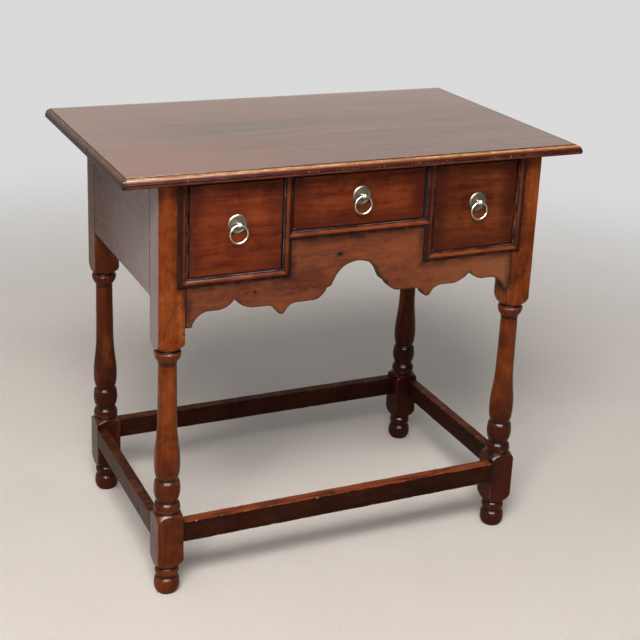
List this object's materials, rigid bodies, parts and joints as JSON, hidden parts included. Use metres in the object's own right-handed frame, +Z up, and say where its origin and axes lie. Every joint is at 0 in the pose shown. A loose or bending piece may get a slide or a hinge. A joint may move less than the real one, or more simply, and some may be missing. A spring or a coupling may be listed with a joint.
{
  "type": "lowboy",
  "caption": "Wooden lowboy side table with drawers over a shaped apron, ring pulls, turned legs and a low box stretcher.",
  "frame": {"origin": "on the floor under the centre of the top, which is the centre of the bounding box's base", "axes": "+X to the right along the front, +Y to the back (drawers open towards -Y), +Z up"},
  "size_m": [0.79, 0.481, 0.718],
  "materials": {
    "top_wood": "polished reddish brown, worn moulded edge",
    "leg_wood": "waxed orange-brown, vertical grain",
    "case_wood": "waxed brown with small knots",
    "bead_wood": "polished, rubbed bright on the bead, dark in the corners",
    "stretcher_wood": "dark, worn orange on the upper arris",
    "drawer_front_wood": "polished red-brown, horizontal grain",
    "inner_wood": "unfinished secondary timber, dry and aged",
    "pull_brass": "aged pale brass, dull on the plate and rubbed bright on the ring"
  },
  "bodies": {
    "carcass": {"top_board_front": "top_wood", "top_board_back": "top_wood", "leg_front_left": "leg_wood", "leg_front_right": "leg_wood", "leg_back_left": "leg_wood", "leg_back_right": "leg_wood", "stretcher_front": "stretcher_wood", "stretcher_back": "stretcher_wood", "stretcher_left": "stretcher_wood", "stretcher_right": "stretcher_wood", "apron_front": "case_wood", "side_panel_left": "case_wood", "side_panel_right": "case_wood", "back_board": "case_wood", "top_rail_front": "case_wood", "divider_left": "case_wood", "divider_right": "case_wood", "bead_left_outer": "bead_wood", "bead_left_bottom": "bead_wood", "bead_left_inner": "bead_wood", "bead_right_outer": "bead_wood", "bead_right_bottom": "bead_wood", "bead_right_inner": "bead_wood", "bead_centre_bottom": "bead_wood", "partition_left": "inner_wood", "partition_right": "inner_wood", "runner_left_outer": "inner_wood", "runner_left_inner": "inner_wood", "runner_centre_left": "inner_wood", "runner_centre_right": "inner_wood", "runner_right_inner": "inner_wood", "runner_right_outer": "inner_wood", "kicker_left": "inner_wood", "kicker_centre": "inner_wood", "kicker_right": "inner_wood", "glue_blocks": "inner_wood"},
    "drawer_left": {"drawer_left_front": "drawer_front_wood", "drawer_left_side_l": "inner_wood", "drawer_left_side_r": "inner_wood", "drawer_left_back": "inner_wood", "drawer_left_bottom": "inner_wood", "pull_plate_left": "pull_brass", "pull_pin_left": "pull_brass"},
    "ring_left": {"pull_ring_left": "pull_brass"},
    "drawer_centre": {"drawer_centre_front": "drawer_front_wood", "drawer_centre_side_l": "inner_wood", "drawer_centre_side_r": "inner_wood", "drawer_centre_back": "inner_wood", "drawer_centre_bottom": "inner_wood", "pull_plate_centre": "pull_brass", "pull_pin_centre": "pull_brass"},
    "ring_centre": {"pull_ring_centre": "pull_brass"},
    "drawer_right": {"drawer_right_front": "drawer_front_wood", "drawer_right_side_l": "inner_wood", "drawer_right_side_r": "inner_wood", "drawer_right_back": "inner_wood", "drawer_right_bottom": "inner_wood", "pull_plate_right": "pull_brass", "pull_pin_right": "pull_brass"},
    "ring_right": {"pull_ring_right": "pull_brass"}
  },
  "joints": [
    {"name": "drawer_left_slide", "type": "slide", "parent": "carcass", "child": "drawer_left", "axis": [0, -1, 0], "range_m": [0, 0.3]},
    {"name": "drawer_centre_slide", "type": "slide", "parent": "carcass", "child": "drawer_centre", "axis": [0, -1, 0], "range_m": [0, 0.3]},
    {"name": "drawer_right_slide", "type": "slide", "parent": "carcass", "child": "drawer_right", "axis": [0, -1, 0], "range_m": [0, 0.3]},
    {"name": "ring_left_swing", "type": "hinge", "parent": "drawer_left", "child": "ring_left", "pos_m": [-0.2075, -0.2223, 0.628], "axis": [-1, 0, 0], "range_deg": [-8, 165]},
    {"name": "ring_centre_swing", "type": "hinge", "parent": "drawer_centre", "child": "ring_centre", "pos_m": [0.001, -0.2223, 0.6565], "axis": [-1, 0, 0], "range_deg": [-8, 165]},
    {"name": "ring_right_swing", "type": "hinge", "parent": "drawer_right", "child": "ring_right", "pos_m": [0.2145, -0.2223, 0.628], "axis": [-1, 0, 0], "range_deg": [-8, 165]}
  ]
}
